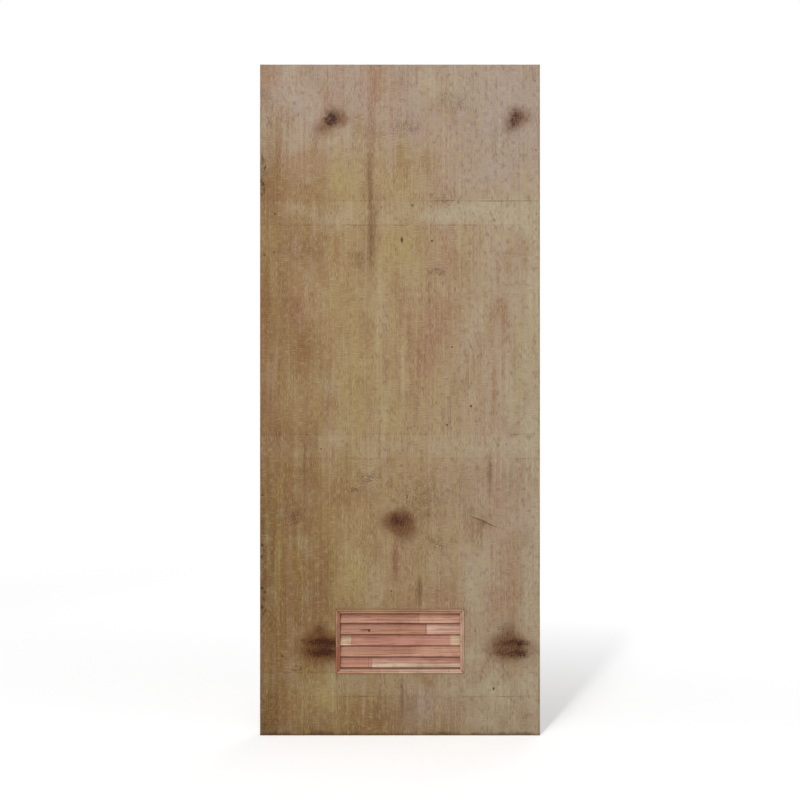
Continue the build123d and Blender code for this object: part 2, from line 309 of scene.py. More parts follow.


# The two faces: sheets of knotty pine plywood, glued over the frame, sanded and left bare.
# Years of light and damp have greyed the head, stained the hinge side brown and left clouds
# of straw, cream and rose. The foot is darker towards the bottom. The rails behind show
# through as paler bands.

# A sheet's patches and marks are ovals, laid from the look of the photograph, and made up
# for the back. Each has its centre across and up from the foot of the hinge edge and its
# half width and half height, in metres, then a strength, and for some a lean in radians.
front_sheet = dict(
    seed=3.0,
    cream=(
        (0.56, 2.03, 0.11, 0.11, 0.5), (0.23, 1.86, 0.08, 0.04, 0.5), (0.67, 1.63, 0.25, 0.05, 0.75),
        (0.81, 1.64, 0.09, 0.11, 0.5), (0.19, 1.63, 0.17, 0.04, 0.35), (0.39, 1.28, 0.04, 0.19, 0.2),
        (0.68, 1.27, 0.07, 0.28, 0.35), (0.86, 1.36, 0.06, 0.34, 0.8), (0.82, 1.07, 0.08, 0.15, 0.7),
        (0.44, 0.91, 0.38, 0.04, 0.2), (0.74, 0.92, 0.19, 0.05, 0.3), (0.67, 0.49, 0.06, 0.21, 0.6),
        (0.73, 0.14, 0.16, 0.08, 0.8), (0.42, 0.16, 0.25, 0.04, 0.3), (0.66, 0.24, 0.18, 0.08, 0.6),
        (0.72, 0.04, 0.16, 0.06, 0.5), (0.87, 0.55, 0.06, 0.47, 0.7), (0.85, 0.11, 0.08, 0.16, 0.55),
        (0.85, 0.92, 0.07, 0.16, 0.6), (0.86, 1.66, 0.06, 0.16, 0.6), (0.66, 1.64, 0.19, 0.08, 0.3),
    ),
    straw=(
        (0.27, 1.72, 0.08, 0.19, 0.5), (0.44, 1.52, 0.13, 0.13, 0.6), (0.13, 1.63, 0.09, 0.08, 0.3),
        (0.27, 1.39, 0.11, 0.22, 0.45), (0.17, 1.39, 0.11, 0.07, 0.4), (0.29, 1.11, 0.09, 0.25, 0.55),
        (0.39, 1.05, 0.06, 0.13, 0.4), (0.28, 0.83, 0.08, 0.08, 0.2), (0.29, 0.51, 0.08, 0.18, 0.7),
        (0.19, 0.10, 0.14, 0.14, 0.9), (0.22, 0.45, 0.06, 0.06, 0.3), (0.85, 1.30, 0.04, 0.22, 0.35),
        (0.09, 1.05, 0.08, 0.16, 0.3), (0.56, 1.05, 0.09, 0.13, 0.25), (0.60, 0.63, 0.08, 0.08, 0.3),
    ),
    grey=(
        (0.77, 1.96, 0.18, 0.28, 0.9), (0.10, 2.01, 0.16, 0.14, 0.55), (0.53, 2.08, 0.19, 0.05, 0.3),
        (0.66, 1.75, 0.19, 0.14, 0.45), (0.76, 0.77, 0.09, 0.13, 0.2), (0.53, 0.10, 0.19, 0.11, 0.4),
        (0.48, 0.09, 0.07, 0.11, 0.5), (0.66, 0.74, 0.19, 0.19, 0.2), (0.56, 0.99, 0.19, 0.16, 0.2),
        (0.66, 1.27, 0.05, 0.22, 0.3),
    ),
    rosy=(
        (0.36, 1.99, 0.08, 0.19, 0.5), (0.50, 1.91, 0.13, 0.11, 0.4), (0.12, 1.78, 0.14, 0.11, 0.55),
        (0.52, 1.22, 0.14, 0.21, 0.6), (0.56, 1.48, 0.11, 0.08, 0.5), (0.61, 1.36, 0.08, 0.19, 0.35),
        (0.76, 1.29, 0.08, 0.24, 0.3), (0.42, 0.55, 0.05, 0.16, 0.6), (0.56, 0.83, 0.19, 0.08, 0.3),
        (0.78, 0.47, 0.07, 0.19, 0.45), (0.53, 0.42, 0.14, 0.08, 0.5), (0.69, 1.83, 0.16, 0.09, 0.2),
        (0.01, 2.05, 0.08, 0.11, 0.5), (0.14, 1.36, 0.08, 0.09, 0.6), (0.52, 1.21, 0.06, 0.16, 0.3),
        (0.46, 0.11, 0.09, 0.11, 0.4), (0.66, 0.42, 0.19, 0.19, 0.2), (0.74, 0.73, 0.09, 0.17, 0.45),
        (0.80, 0.46, 0.08, 0.19, 0.25), (0.22, 2.00, 0.04, 0.08, 0.4), (0.81, 2.00, 0.04, 0.06, 0.3),
        (0.06, 0.96, 0.05, 0.13, 0.3),
    ),
    brown=(
        (0.07, 1.51, 0.06, 0.04, 0.4), (0.23, 1.57, 0.04, 0.14, 0.3), (0.05, 1.83, 0.08, 0.28, 0.22),
        (0.13, 0.92, 0.16, 0.06, 0.4), (0.31, 1.49, 0.08, 0.08, 0.45), (0.01, 1.31, 0.07, 0.19, 0.75),
        (0.14, 1.21, 0.08, 0.14, 0.6), (0.04, 1.68, 0.08, 0.18, 0.75), (0.13, 0.83, 0.11, 0.10, 0.5),
        (0.09, 0.67, 0.09, 0.09, 0.55), (0.27, 0.76, 0.11, 0.06, 0.35), (0.19, 0.48, 0.06, 0.23, 0.7),
        (0.01, 0.30, 0.08, 0.25, 0.4), (0.10, 0.38, 0.08, 0.19, 0.45), (0.53, 0.71, 0.16, 0.08, 0.3),
        (0.42, 0.07, 0.09, 0.09, 0.5), (0.12, 1.35, 0.06, 0.08, 0.4), (0.22, 0.06, 0.08, 0.08, 0.3),
        (0.006, 1.294, 0.031, 0.188, 0.5), (0.69, 0.66, 0.08, 0.06, 0.35), (0.03, 1.05, 0.07, 0.19, 0.3),
        (0.07, 0.95, 0.12, 0.09, 0.55), (0.16, 0.71, 0.14, 0.13, 0.4), (0.09, 0.07, 0.14, 0.11, 0.55),
        (0.38, 0.05, 0.22, 0.06, 0.3), (0.49, 0.44, 0.11, 0.06, 0.35), (0.551, 1.451, 0.081, 0.031, 0.4),
        (0.50, 0.19, 0.08, 0.04, 0.2),
    ),
    streaks=(
        (0.341, 1.739, 0.016, 0.113, 0.7), (0.347, 1.551, 0.020, 0.194, 0.7),
        (0.347, 1.926, 0.019, 0.188, 0.35), (0.360, 1.613, 0.005, 0.188, 0.3),
        (0.720, 0.825, 0.014, 0.106, 0.7), (0.701, 0.665, 0.047, 0.016, 0.4, -0.375),
        (0.138, 0.847, 0.009, 0.113, 0.4), (0.141, 0.837, 0.004, 0.113, 0.55),
        (0.498, 0.455, 0.014, 0.075, 0.75), (0.423, 0.543, 0.016, 0.106, 0.6),
        (0.444, 0.136, 0.009, 0.081, 0.7), (0.47, 0.09, 0.04, 0.09, 0.4),
        (0.363, 0.061, 0.031, 0.069, 0.25), (0.466, 1.263, 0.008, 0.188, 0.35),
        (0.473, 1.926, 0.008, 0.075, 0.3), (0.394, 1.138, 0.006, 0.106, 0.35),
        (0.723, 1.363, 0.008, 0.156, 0.25),
    ),
    pale_stripes=(
        (0.376, 1.394, 0.022, 0.188, 0.7), (0.366, 1.232, 0.019, 0.106, 0.6),
        (0.388, 0.987, 0.022, 0.156, 0.6), (0.448, 1.144, 0.013, 0.282, 0.6),
        (0.670, 1.075, 0.031, 0.282, 0.35), (0.81, 1.24, 0.04, 0.22, 0.5),
        (0.858, 1.250, 0.028, 0.250, 0.5), (0.022, 0.612, 0.022, 0.156, 0.35),
        (0.81, 1.05, 0.04, 0.16, 0.4), (0.279, 1.050, 0.013, 0.250, 0.3),
    ),
    ruddy_stripes=(
        (0.473, 1.238, 0.013, 0.188, 0.5), (0.504, 1.206, 0.019, 0.138, 0.4),
        (0.732, 1.075, 0.019, 0.188, 0.45), (0.761, 1.294, 0.019, 0.156, 0.4),
        (0.006, 1.300, 0.016, 0.188, 1.2), (0.147, 1.200, 0.025, 0.088, 0.4),
        (0.426, 0.546, 0.028, 0.119, 0.45), (0.12, 1.36, 0.04, 0.08, 0.5),
        (0.175, 1.366, 0.031, 0.069, 0.45), (0.238, 1.501, 0.025, 0.075, 0.35),
        (0.410, 0.800, 0.022, 0.075, 0.3), (0.814, 0.449, 0.025, 0.063, 0.4),
        (0.113, 0.080, 0.028, 0.088, 0.45), (0.601, 1.300, 0.013, 0.188, 0.2),
        (0.235, 1.551, 0.016, 0.125, 0.25), (0.316, 1.269, 0.009, 0.188, 0.2),
        (0.006, 1.094, 0.013, 0.094, 0.6),
    ),
    halos=(
        (0.19, 1.90, 0.05, 0.04, 0.6), (0.27, 1.93, 0.05, 0.04, 0.4), (0.238, 1.992, 0.031, 0.069, 0.2),
        (0.78, 1.90, 0.05, 0.04, 0.55), (0.84, 1.93, 0.05, 0.05, 0.35), (0.44, 0.66, 0.08, 0.08, 0.6),
        (0.38, 0.67, 0.06, 0.05, 0.3), (0.46, 0.63, 0.05, 0.05, 0.3), (0.19, 0.27, 0.11, 0.07, 1.1),
        (0.18, 0.32, 0.06, 0.07, 0.45), (0.23, 0.27, 0.04, 0.06, 0.4), (0.78, 0.27, 0.11, 0.06, 1),
        (0.78, 0.32, 0.07, 0.07, 0.5), (0.698, 0.665, 0.019, 0.019, 0.5), (0.23, 1.93, 0.05, 0.05, 0.7),
        (0.80, 1.94, 0.05, 0.05, 0.7), (0.44, 0.67, 0.06, 0.05, 0.7),
    ),
    knots=(
        (0.225, 1.934, 0.033, 0.034, 1.1), (0.219, 1.920, 0.028, 0.025, 0.5),
        (0.801, 1.936, 0.033, 0.034, 0.85), (0.789, 1.914, 0.031, 0.025, 0.4),
        (0.799, 1.967, 0.008, 0.031, 0.35), (0.427, 0.673, 0.034, 0.033, 1),
        (0.460, 0.674, 0.025, 0.041, 0.55), (0.441, 0.646, 0.011, 0.031, 0.5),
        (0.203, 0.293, 0.063, 0.020, 1), (0.222, 0.289, 0.031, 0.019, 0.5),
        (0.153, 0.293, 0.044, 0.016, 0.6), (0.188, 0.260, 0.069, 0.023, 1),
        (0.222, 0.261, 0.031, 0.022, 0.5), (0.188, 0.340, 0.019, 0.028, 0.5),
        (0.188, 0.315, 0.025, 0.038, 0.4), (0.811, 0.288, 0.044, 0.019, 1.1),
        (0.761, 0.289, 0.041, 0.017, 0.5), (0.814, 0.255, 0.044, 0.022, 0.9),
        (0.751, 0.255, 0.047, 0.020, 0.5), (0.776, 0.327, 0.034, 0.044, 0.4),
        (0.78, 0.27, 0.06, 0.04, 0.35), (0.19, 0.27, 0.05, 0.04, 0.35),
    ),
    speckled=(
        (0.009, 1.764, 0.022, 0.088, 1), (0.013, 0.549, 0.031, 0.219, 0.8), (0.09, 0.69, 0.11, 0.09, 0.5),
        (0.35, 0.80, 0.09, 0.08, 0.5), (0.50, 0.74, 0.14, 0.11, 0.6), (0.56, 0.60, 0.05, 0.04, 0.8),
        (0.13, 1.52, 0.11, 0.06, 0.5), (0.473, 1.898, 0.044, 0.019, 0.7), (0.103, 0.681, 0.038, 0.025, 1.2),
        (0.288, 0.771, 0.031, 0.013, 1.2), (0.332, 0.803, 0.025, 0.016, 1), (0.60, 2.00, 0.07, 0.04, 0.4),
        (0.047, 0.005, 0.094, 0.025, 0.8), (0.028, 1.989, 0.031, 0.031, 0.6),
        (0.304, 1.494, 0.031, 0.028, 0.9), (0.551, 1.447, 0.063, 0.025, 0.6),
        (0.70, 1.90, 0.13, 0.09, 0.25), (0.22, 0.42, 0.19, 0.13, 0.25),
    ),
    scribbled=(
        (0.56, 0.74, 0.25, 0.19, 0.4), (0.45, 1.90, 0.07, 0.04, 1.2), (0.61, 1.98, 0.05, 0.04, 1.1),
        (0.019, 2.001, 0.031, 0.038, 1), (0.006, 1.764, 0.025, 0.100, 1.4), (0.66, 1.63, 0.19, 0.04, 0.4),
        (0.30, 1.49, 0.04, 0.04, 0.5), (0.09, 0.67, 0.11, 0.08, 0.4), (0.56, 1.68, 0.13, 0.04, 0.7),
        (0.013, 0.455, 0.025, 0.125, 0.7),
    ),
    tracks=(
        (0.003, 1.792, 0.019, 0.041, 1.2), (0.006, 1.729, 0.016, 0.028, 1.2),
        (0.554, 1.451, 0.038, 0.019, 0.5), (0.601, 1.667, 0.041, 0.016, 0.5),
        (0.006, 0.405, 0.019, 0.038, 0.9), (0.113, 0.211, 0.028, 0.013, 0.7),
    ),
    cracks=(
        (0.682, 0.678, 0.038, 0.004, 0.8, -0.33), (0.717, 0.662, 0.038, 0.004, 0.7, -0.42),
    ),
    specks=(
        (0.660, 1.031, 0.006, 0.006, 1), (0.585, 0.972, 0.005, 0.005, 1), (0.601, 1.216, 0.004, 0.004, 1),
        (0.476, 1.660, 0.004, 0.004, 1), (0.047, 1.632, 0.005, 0.004, 1), (0.013, 1.504, 0.004, 0.004, 1),
        (0.044, 1.513, 0.004, 0.004, 1), (0.444, 1.551, 0.006, 0.014, 1), (0.538, 1.548, 0.005, 0.005, 1),
        (0.864, 1.832, 0.004, 0.004, 0.8), (0.731, 0.147, 0.005, 0.008, 1), (0.070, 0.249, 0.005, 0.005, 1),
        (0.410, 0.452, 0.004, 0.004, 1), (0.191, 0.897, 0.004, 0.004, 1), (0.732, 1.613, 0.009, 0.009, 0.5),
        (0.006, 0.462, 0.008, 0.009, 0.9), (0.014, 0.449, 0.006, 0.006, 0.8),
        (0.006, 0.402, 0.009, 0.009, 0.8), (0.016, 0.390, 0.006, 0.006, 0.6),
        (0.006, 0.596, 0.007, 0.009, 0.8), (0.013, 0.577, 0.005, 0.007, 0.7),
        (0.005, 0.559, 0.008, 0.007, 0.8), (0.016, 0.543, 0.005, 0.007, 0.6),
        (0.006, 0.668, 0.005, 0.008, 0.6), (0.861, 2.048, 0.003, 0.003, 0.8),
        (0.008, 0.753, 0.005, 0.005, 1), (0.003, 1.735, 0.005, 0.008, 0.9),
        (0.008, 1.807, 0.003, 0.020, 0.8, 0.15), (0.015, 1.776, 0.003, 0.015, 0.9, -0.2),
        (0.009, 1.726, 0.007, 0.009, 0.9), (0.014, 1.707, 0.003, 0.015, 0.7, 0.3),
        (0.005, 1.692, 0.004, 0.008, 0.8), (0.025, 1.933, 0.003, 0.008, 0.5, 0.5),
        (0.028, 1.920, 0.003, 0.010, 0.5, -0.3),
    ),
)

back_sheet = dict(
    seed=11.0,
    cream=(
        (0.13, 1.96, 0.11, 0.13, 0.5), (0.53, 1.63, 0.28, 0.05, 0.6), (0.28, 0.91, 0.31, 0.04, 0.4),
        (0.13, 1.27, 0.06, 0.31, 0.5), (0.56, 1.11, 0.08, 0.28, 0.5), (0.41, 0.42, 0.06, 0.19, 0.5),
        (0.22, 0.14, 0.16, 0.05, 0.5), (0.81, 0.55, 0.06, 0.28, 0.4),
    ),
    straw=(
        (0.69, 1.71, 0.11, 0.22, 0.6), (0.47, 1.36, 0.13, 0.22, 0.5), (0.22, 0.99, 0.09, 0.25, 0.5),
        (0.75, 0.92, 0.08, 0.22, 0.4), (0.59, 0.42, 0.09, 0.19, 0.6), (0.09, 0.42, 0.08, 0.19, 0.4),
        (0.69, 0.10, 0.16, 0.11, 0.6),
    ),
    grey=(
        (0.31, 2.02, 0.19, 0.16, 0.55), (0.72, 2.04, 0.16, 0.09, 0.4), (0.13, 1.74, 0.09, 0.16, 0.35),
        (0.16, 0.67, 0.11, 0.14, 0.4),
    ),
    rosy=(
        (0.56, 1.93, 0.09, 0.19, 0.5), (0.28, 1.52, 0.14, 0.19, 0.5), (0.81, 1.27, 0.08, 0.24, 0.5),
        (0.44, 0.80, 0.19, 0.08, 0.4), (0.13, 0.83, 0.07, 0.19, 0.4), (0.69, 0.67, 0.13, 0.11, 0.4),
        (0.38, 0.08, 0.13, 0.08, 0.4),
    ),
    brown=(
        (0.81, 1.52, 0.09, 0.08, 0.6), (0.06, 1.43, 0.08, 0.19, 0.5), (0.66, 1.24, 0.08, 0.14, 0.4),
        (0.86, 0.83, 0.07, 0.34, 0.5), (0.22, 0.55, 0.09, 0.09, 0.5), (0.75, 0.36, 0.09, 0.19, 0.5),
        (0.50, 0.09, 0.11, 0.09, 0.5),
    ),
    streaks=(
        (0.188, 1.676, 0.014, 0.219, 0.7), (0.610, 0.925, 0.008, 0.156, 0.6),
        (0.351, 1.269, 0.009, 0.156, 0.4), (0.751, 0.549, 0.008, 0.094, 0.6),
        (0.469, 1.832, 0.009, 0.138, 0.4), (0.250, 0.127, 0.009, 0.081, 0.6),
    ),
    pale_stripes=(
        (0.125, 1.238, 0.025, 0.282, 0.6), (0.532, 0.987, 0.022, 0.250, 0.6),
        (0.313, 0.424, 0.019, 0.156, 0.5), (0.767, 1.676, 0.025, 0.188, 0.5),
    ),
    ruddy_stripes=(
        (0.250, 1.269, 0.016, 0.250, 0.6), (0.645, 1.113, 0.016, 0.219, 0.6),
        (0.469, 0.549, 0.019, 0.188, 0.5), (0.867, 1.269, 0.013, 0.188, 0.9),
    ),
    halos=(
        (0.34, 1.83, 0.06, 0.05, 0.6), (0.72, 1.43, 0.06, 0.06, 0.6), (0.13, 1.07, 0.08, 0.06, 0.7),
        (0.66, 0.74, 0.08, 0.06, 0.7), (0.09, 0.27, 0.11, 0.06, 0.8),
    ),
    knots=(
        (0.338, 1.839, 0.028, 0.028, 1), (0.714, 1.432, 0.025, 0.031, 0.8), (0.125, 1.072, 0.034, 0.028, 1),
        (0.150, 1.059, 0.025, 0.022, 0.5), (0.657, 0.743, 0.038, 0.025, 1), (0.094, 0.283, 0.063, 0.017, 1),
        (0.088, 0.258, 0.050, 0.016, 0.8),
    ),
    speckled=(
        (0.864, 0.549, 0.031, 0.219, 0.8), (0.69, 1.68, 0.13, 0.09, 0.4), (0.28, 0.80, 0.16, 0.09, 0.5),
        (0.125, 0.005, 0.188, 0.025, 0.7),
    ),
    scribbled=(
        (0.38, 0.80, 0.25, 0.16, 0.5), (0.56, 1.83, 0.08, 0.04, 0.9), (0.75, 1.05, 0.09, 0.06, 0.6),
    ),
    tracks=(
        (0.219, 1.645, 0.038, 0.019, 0.8), (0.751, 1.269, 0.028, 0.025, 0.7),
        (0.438, 0.612, 0.044, 0.022, 0.7), (0.851, 1.926, 0.019, 0.038, 0.9),
    ),
    cracks=(
        (0.501, 1.363, 0.063, 0.004, 0.8, 0.3),
    ),
    specks=(
        (0.250, 1.363, 0.006, 0.006, 1), (0.563, 1.551, 0.005, 0.013, 1), (0.814, 1.832, 0.005, 0.005, 1),
        (0.094, 0.894, 0.006, 0.006, 1), (0.438, 0.487, 0.006, 0.006, 1), (0.657, 0.174, 0.006, 0.009, 1),
    ),
)

hinge_side_ground, middle_ground = linear(137, 107, 69), linear(158, 133, 98)
lock_side_ground, head_ground = linear(168, 149, 130), linear(161, 142, 128)
sheet_tones = {
    "grey": linear(164, 148, 136),
    "rosy": linear(153, 119, 94),
    "straw": linear(158, 137, 91),
    "cream": linear(171, 157, 132),
    "brown": linear(128, 94, 58),
}
low_halo_tone, high_halo_tone = linear(100, 62, 30), linear(112, 76, 54)
low_knot_tone, high_knot_tone, speck_tone = linear(60, 24, 2), linear(60, 32, 20), linear(58, 34, 16)
pale_stripe_tone, ruddy_stripe_tone = linear(167, 151, 113), linear(140, 97, 64)
mottled_rose, mottled_olive = linear(138, 104, 78), linear(164, 146, 102)
dark_line_tint, pale_line_tone = linear(196, 170, 140), linear(206, 192, 166)
dark_fibre_tint, pale_fibre_tone = linear(192, 164, 130), linear(208, 190, 152)
dark_thread_tint, pale_thread_tone = linear(190, 162, 130), linear(212, 194, 158)
streak_tone, line_tone, foot_tone = linear(112, 80, 56), linear(104, 78, 56), linear(78, 56, 38)
scribble_tone, track_tone, dirt_tone = linear(92, 60, 38), linear(84, 54, 34), linear(80, 54, 36)
core_ply_tone = linear(176, 140, 98)
foot_shade, hinge_shade = linear(248, 246, 242), linear(222, 210, 188)
low_hinge_shade = linear(239, 233, 202)

# Where one ground tone gives way to the next, in metres across the sheet or up it.
middle_begins, lock_side_begins = (0.0, 0.38), (0.40, 0.86)
head_begins, foot_begins, hinge_edge_begins = (1.70, 1.98), (0.95, 0.45), (0.13, 0.01)
low_part_begins, low_hinge_side_begins = (1.10, 0.75), (0.46, 0.20)
# Where the darkening towards the foot fades out, up the sheet and across it.
foot_darkening_height, foot_darkening_width = (0.30, 0.04), (0.80, 0.30)

ghost_rails = ("upper_rail", "lock_rail", "louver_sill_rail")
ghost_sway, ghost_fade_out, ghost_fade_in = 0.006, 0.002, 0.008
crease_reach, crease_core = 0.0028, 0.0008
handled_edge, foot_darkening_reach, crack_lift = 0.007, 0.014, 0.005
rim_sway, foot_sway, trim_shade_reach, trim_seam = 0.012, 0.03, 0.006, 0.001
core_ply_start, core_ply_end, glue_film = 0.0011, 0.0039, 0.0001
sanded_relief = 0.0004

leaf_high_y = max(corner[1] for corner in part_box("back_skin"))
opening_low = Vector((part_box("louver_jamb_left")[1][0], 0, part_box("louver_sill")[1][2]))
opening_high = Vector((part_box("louver_jamb_right")[0][0], 0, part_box("louver_head")[0][2]))
trim_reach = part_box("front_bead_right")[1][0] - opening_high.x


def sheet_patterns(place, sheet):
    """The places and noises that the tones and marks of one sheet share.

    The clouds' edges are read at the stained place, stripes along the grain at the wavering
    one, and knots at the crumbled one.
    """
    at = SimpleNamespace(place=place, across=place.part(0), deep=place.part(1), up=place.part(2))
    at.flat = place.node("ShaderNodeCombineXYZ", {0: at.across, 1: at.up})
    sample = at.flat.shifted((sheet["seed"], sheet["seed"], 0.0))

    def pattern(across_scale, up_scale, detail=2.0, output="Fac", shift=0.0):
        """Flat noise with so many features a metre across and up."""
        scaled = sample.shifted((shift, shift, 0.0)).scaled(across_scale, up_scale, 1.0)
        return scaled.noise(detail=detail, output=output, dimensions="2D")

    def sway(across_scale, up_scale, across_reach, up_reach, detail=2.0):
        """A small random move along the sheet."""
        vector = pattern(across_scale, up_scale, detail, output="Color").shifted((-0.5, -0.5, -0.5))
        return vector.scaled(across_reach, up_reach, 0.0)

    at.drift = sway(7.0, 4.0, 0.07, 0.10, 3.0)
    at.fringe = sway(160.0, 45.0, 0.008, 0.035)
    at.stained = at.flat.shifted(at.drift).shifted(at.fringe)
    at.wavering = at.flat.shifted(at.drift.scaled(0.12, 0.0, 0.0))
    at.wavering = at.wavering.shifted(at.fringe.scaled(0.6, 1.0, 0.0))
    at.crumbled = at.flat.shifted(sway(80.0, 80.0, 0.016, 0.010, 5.0))
    at.crumbled = at.crumbled.shifted(at.fringe.scaled(0.3, 0.1, 0.0))
    at.cloud = pattern(13.0, 7.0, 5.0)
    at.other_cloud = pattern(9.0, 6.0, 5.0, shift=3.7)
    at.figure = pattern(34.0, 1.6, 4.0, shift=5.1)
    at.ground_shift = pattern(11.0, 0.8, 3.0)
    at.slubs = pattern(5.0, 90.0, 4.0)
    at.fibres = pattern(360.0, 62.0, 3.0)
    at.lines = pattern(140.0, 4.0, 4.0)
    at.threads = pattern(42.0, 330.0, 3.0)
    at.patchy = pattern(15.0, 11.0, 4.0, shift=1.3)
    at.mottle = pattern(60.0, 40.0, 4.0, shift=7.7)
    at.flecks = pattern(330.0, 240.0, 1.0)
    at.wriggle = pattern(180.0, 120.0, 3.0)
    return at


def ground(at):
    """The ground tone: brown at the hinge side, pale at the lock side, grey at the head."""
    placed = at.across + (at.ground_shift - 0.5) * 0.3
    colour = placed.steps(*middle_begins).between(hinge_side_ground, middle_ground)
    colour = colour.blended(placed.steps(*lock_side_begins), lock_side_ground)
    colour = colour.blended((at.up + (at.cloud - 0.5) * 0.3).steps(*head_begins), head_ground)
    colour = colour.blended((at.up + at.cloud * 0.2).steps(*foot_begins), foot_shade, "MULTIPLY")
    hinge_edge = (at.across + at.cloud * 0.06).steps(*hinge_edge_begins) * 0.75
    colour = colour.blended(hinge_edge, hinge_shade, "MULTIPLY")
    low = (at.up + at.cloud * 0.2).steps(*low_part_begins)
    hinge_side = (at.across + at.cloud * 0.1).steps(*low_hinge_side_begins)
    colour = colour.blended(low * hinge_side, low_hinge_shade, "MULTIPLY")
    # Darker towards the foot, most on the hinge side.
    foot_darkening = (at.up + at.cloud * 0.10).steps(*foot_darkening_height) * at.across.steps(*foot_darkening_width, 0.3, 1.15)
    return colour.blended(foot_darkening, hinge_shade, "MULTIPLY")


def with_clouds(colour, at, sheet):
    """The soft figure, the clouds of each tone, and the stripes that follow the grain."""
    colour = colour.blended(at.figure.steps(0.50, 0.34) * 0.35, sheet_tones["straw"])
    colour = colour.blended(at.figure.steps(0.50, 0.68) * 0.4, sheet_tones["rosy"])
    colour = colour.blended(at.cloud.steps(0.52, 0.30) * 0.3, sheet_tones["brown"])
    colour = colour.blended(at.other_cloud.steps(0.52, 0.72) * 0.3, sheet_tones["cream"])
    for kind, tone in sheet_tones.items():
        share = (at.cloud if kind in ("straw", "cream") else 1.0 - at.cloud).steps(0.3, 0.6, 0.65, 1.15)
        colour = colour.blended((at.stained.ovals(sheet[kind]) * share).steps(0.0, 0.85), tone)
    for stripes, tone in (("pale_stripes", pale_stripe_tone), ("ruddy_stripes", ruddy_stripe_tone)):
        colour = colour.blended(at.wavering.ovals(sheet[stripes]).steps(0.0, 0.9), tone)
    return colour


def with_rails_showing(colour, at):
    """The rails behind the sheet: a paler band for each one, between two faint creases."""
    height = at.up + (at.slubs - 0.5) * ghost_sway
    paleness = at.other_cloud.steps(0.35, 0.65, 0.08, 0.3) * at.across.steps(0.05, 0.45, 0.3, 1.0)
    for rail_name in ghost_rails:
        bottom, top = (corner[2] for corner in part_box(rail_name))
        above = height.steps(bottom - ghost_fade_out, bottom + ghost_fade_in)
        below = height.steps(top + ghost_fade_out, top - ghost_fade_in)
        colour = colour.blended(above * below * paleness, sheet_tones["cream"])
        for edge in (bottom, top):
            crease = (height - edge).math("ABSOLUTE").steps(crease_reach, crease_core)
            crease = crease * at.slubs.steps(0.4, 0.6) * at.other_cloud.steps(0.60, 0.42, 0.15, 0.5)
            colour = colour.blended(crease, line_tone)
    return colour


def with_grain(colour, at):
    """A mottle, then dark and pale lines, fibres and threads, stronger in some places."""
    streaked = at.patchy.steps(0.38, 0.62, 0.1, 0.38)
    crossed = at.patchy.steps(0.62, 0.38, 0.06, 0.26)
    colour = colour.blended(at.mottle.steps(0.52, 0.76) * 0.5, mottled_rose)
    olive = at.mottle.steps(0.48, 0.26) * at.across.steps(0.0, 0.4, 0.2, 0.45)
    colour = colour.blended(olive, mottled_olive)
    colour = colour.blended(at.lines.steps(0.50, 0.74) * streaked * 0.7, dark_line_tint, "MULTIPLY")
    colour = colour.blended(at.lines.steps(0.46, 0.28) * 0.10, pale_line_tone)
    colour = colour.blended(at.fibres.steps(0.48, 0.72) * streaked, dark_fibre_tint, "MULTIPLY")
    colour = colour.blended(at.fibres.steps(0.48, 0.28) * streaked * 0.5, pale_fibre_tone)
    colour = colour.blended(at.threads.steps(0.54, 0.76) * crossed, dark_thread_tint, "MULTIPLY")
    return colour.blended(at.threads.steps(0.46, 0.26) * crossed * 0.7, pale_thread_tone)


def with_marks(colour, at, sheet):
    """Dark streaks along the grain, scribbles and rings left by insects, and specks of dirt."""
    streaks = at.wavering.ovals(sheet["streaks"]).steps(0.0, 0.7)
    colour = colour.blended(streaks * at.fibres.steps(0.3, 0.7, 0.6, 1.0) * 0.85, streak_tone)
    wriggle = (at.wriggle - 0.5).math("ABSOLUTE").steps(0.045, 0.0)
    scribbles = at.flat.ovals(sheet["scribbled"]).steps(0.0, 0.8) * wriggle
    colour = colour.blended(scribbles * 0.7, scribble_tone)
    tracks = at.flat.shifted(at.fringe.scaled(0.5, 0.1, 0.0)).ovals(sheet["tracks"])
    tracks = (tracks - 0.3).math("ABSOLUTE").steps(0.14, 0.03)
    tracks = tracks * at.mottle.steps(0.42, 0.56) * at.fibres.steps(0.3, 0.6, 0.3, 1.0)
    colour = colour.blended(tracks * 0.7, track_tone)
    dots = (at.flecks + at.mottle * 0.5).steps(0.78, 0.88)
    speckles = at.flat.ovals(sheet["speckled"]).steps(0.0, 0.8) * dots
    return colour.blended(speckles * 0.75, dirt_tone)


def with_knots(colour, knot, at, sheet):
    """A knot's dark heart over the halo of stained wood round it, greyer high up."""
    weathered = (at.up + at.across).steps(0.4, 2.2)
    halo = at.crumbled.shifted(at.drift.scaled(0.12, 0.08, 0.0)).ovals(sheet["halos"]).steps(0.0, 0.8)
    halo_tone = weathered.between(low_halo_tone, high_halo_tone)
    colour = colour.blended(halo * at.fibres.steps(0.3, 0.7, 0.8, 1.0) * 0.95, halo_tone)
    return colour.blended(knot, weathered.between(low_knot_tone, high_knot_tone))


def with_cracks(colour, at, sheet):
    """Cracks, each with a lifted pale edge above it."""
    lifted = at.flat.shifted((0.0, -crack_lift, 0.0)).ovals(sheet["cracks"]).steps(0.0, 0.8)
    colour = colour.blended(lifted * 0.4, sheet_tones["cream"])
    return colour.blended(at.flat.ovals(sheet["cracks"]).steps(0.0, 0.6) * 0.8, streak_tone)


def past_opening(place):
    """How far a place lies past the louver's opening: to the side, and up or down."""
    middle, half = (opening_low + opening_high) / 2, (opening_high - opening_low) / 2
    beside = (place.part(0) - middle.x).math("ABSOLUTE") - half.x
    over = (place.part(2) - middle.z).math("ABSOLUTE") - half.z
    return beside, over


